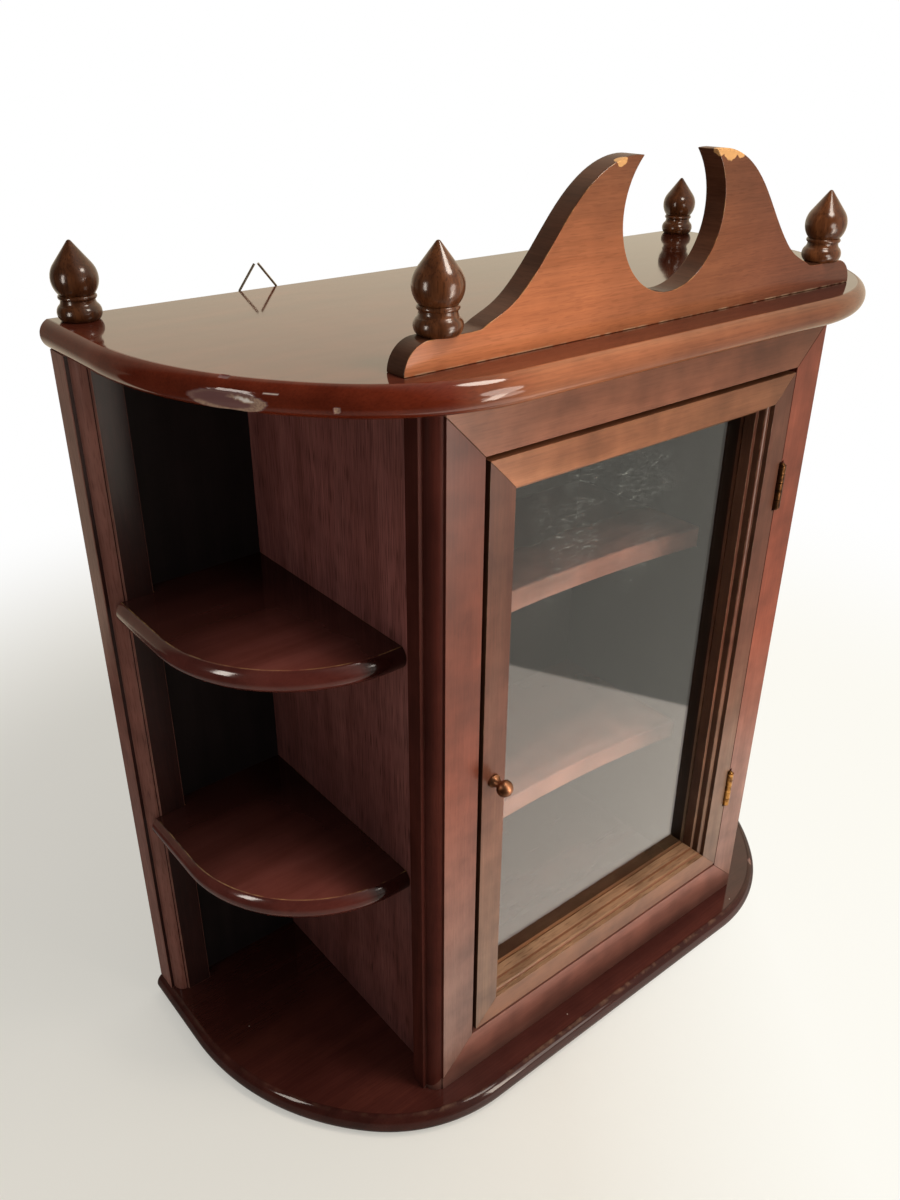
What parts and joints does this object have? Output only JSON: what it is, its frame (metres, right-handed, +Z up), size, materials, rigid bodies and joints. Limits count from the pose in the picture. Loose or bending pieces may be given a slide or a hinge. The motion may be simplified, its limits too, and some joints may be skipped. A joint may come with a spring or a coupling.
{
  "type": "wall curio cabinet",
  "caption": "Wall curio cabinet in dark polished wood: hinged glazed door, swan-neck pediment, turned finials and open quarter-round shelves at the sides.",
  "frame": {"origin": "centre of the underside of the bottom board, midway between its front and its back edge", "axes": "+Z up, +X to the right as seen from the front, +Y to the back, towards the wall"},
  "size_m": [0.434, 0.1963, 0.4891],
  "materials": {
    "polished_mahogany": "glossy lacquer over dark mahogany stain",
    "mahogany_veneer": "satin lacquer over stained veneer with upright grain",
    "turned_mahogany": "glossy lacquer on turned end-grain wood",
    "plain_hardwood": "stained, thin lacquer",
    "window_glass": "clear float glass",
    "antique_brass": "darkened brass, worn bright on the edges",
    "zinc_steel": "dull zinc plate",
    "brown_plastic": "fine matt moulding"
  },
  "bodies": {
    "cabinet": {"bottom_board": "polished_mahogany", "top_board": "polished_mahogany", "base_screws": "zinc_steel", "top_dowels": "plain_hardwood", "back_post_left": "polished_mahogany", "back_post_right": "polished_mahogany", "back_panel": "mahogany_veneer", "back_brads": "zinc_steel", "side_panel_left": "mahogany_veneer", "side_panel_right": "mahogany_veneer", "shelf_brads": "zinc_steel", "frame_stile_left": "polished_mahogany", "frame_stile_right": "polished_mahogany", "frame_rail_top": "polished_mahogany", "frame_rail_bottom": "polished_mahogany", "inner_shelf_upper": "mahogany_veneer", "inner_shelf_lower": "mahogany_veneer", "quarter_shelf_left_upper": "polished_mahogany", "quarter_shelf_left_lower": "polished_mahogany", "quarter_shelf_right_upper": "polished_mahogany", "quarter_shelf_right_lower": "polished_mahogany", "pediment": "polished_mahogany", "pediment_dowels": "plain_hardwood", "finial_front_left": "turned_mahogany", "finial_front_right": "turned_mahogany", "finial_back_left": "turned_mahogany", "finial_back_right": "turned_mahogany", "hanger_strap_left": "zinc_steel", "hanger_strap_right": "zinc_steel", "hanger_screws": "zinc_steel", "hinge_frame_leaf_upper": "antique_brass", "hinge_frame_leaf_lower": "antique_brass", "hinge_pin_upper": "antique_brass", "hinge_pin_lower": "antique_brass", "hinge_frame_screws": "antique_brass", "catch_body": "brown_plastic", "catch_screws": "zinc_steel"},
    "door": {"door_stile_left": "polished_mahogany", "door_stile_right": "polished_mahogany", "door_rail_top": "polished_mahogany", "door_rail_bottom": "polished_mahogany", "door_glass": "window_glass", "glass_stop_left": "plain_hardwood", "glass_stop_right": "plain_hardwood", "glass_stop_top": "plain_hardwood", "glass_stop_bottom": "plain_hardwood", "door_knob": "antique_brass", "knob_screw": "zinc_steel", "hinge_door_leaf_upper": "antique_brass", "hinge_door_leaf_lower": "antique_brass", "hinge_door_screws": "antique_brass", "catch_strike": "zinc_steel", "strike_screws": "zinc_steel"},
    "ring_left": {"hanger_ring_left": "zinc_steel"},
    "ring_right": {"hanger_ring_right": "zinc_steel"}
  },
  "joints": [
    {"name": "door_hinge", "type": "hinge", "parent": "cabinet", "child": "door", "pos_m": [0.1062, -0.0793, 0.21225], "axis": [0, 0, 1], "range_deg": [0, 170]},
    {"name": "ring_left_swing", "type": "hinge", "parent": "cabinet", "child": "ring_left", "pos_m": [-0.1058, 0.0982, 0.4173], "axis": [1, 0, 0], "range_deg": [-170, 12]},
    {"name": "ring_right_swing", "type": "hinge", "parent": "cabinet", "child": "ring_right", "pos_m": [0.1058, 0.0982, 0.4173], "axis": [1, 0, 0], "range_deg": [-170, 12]}
  ]
}
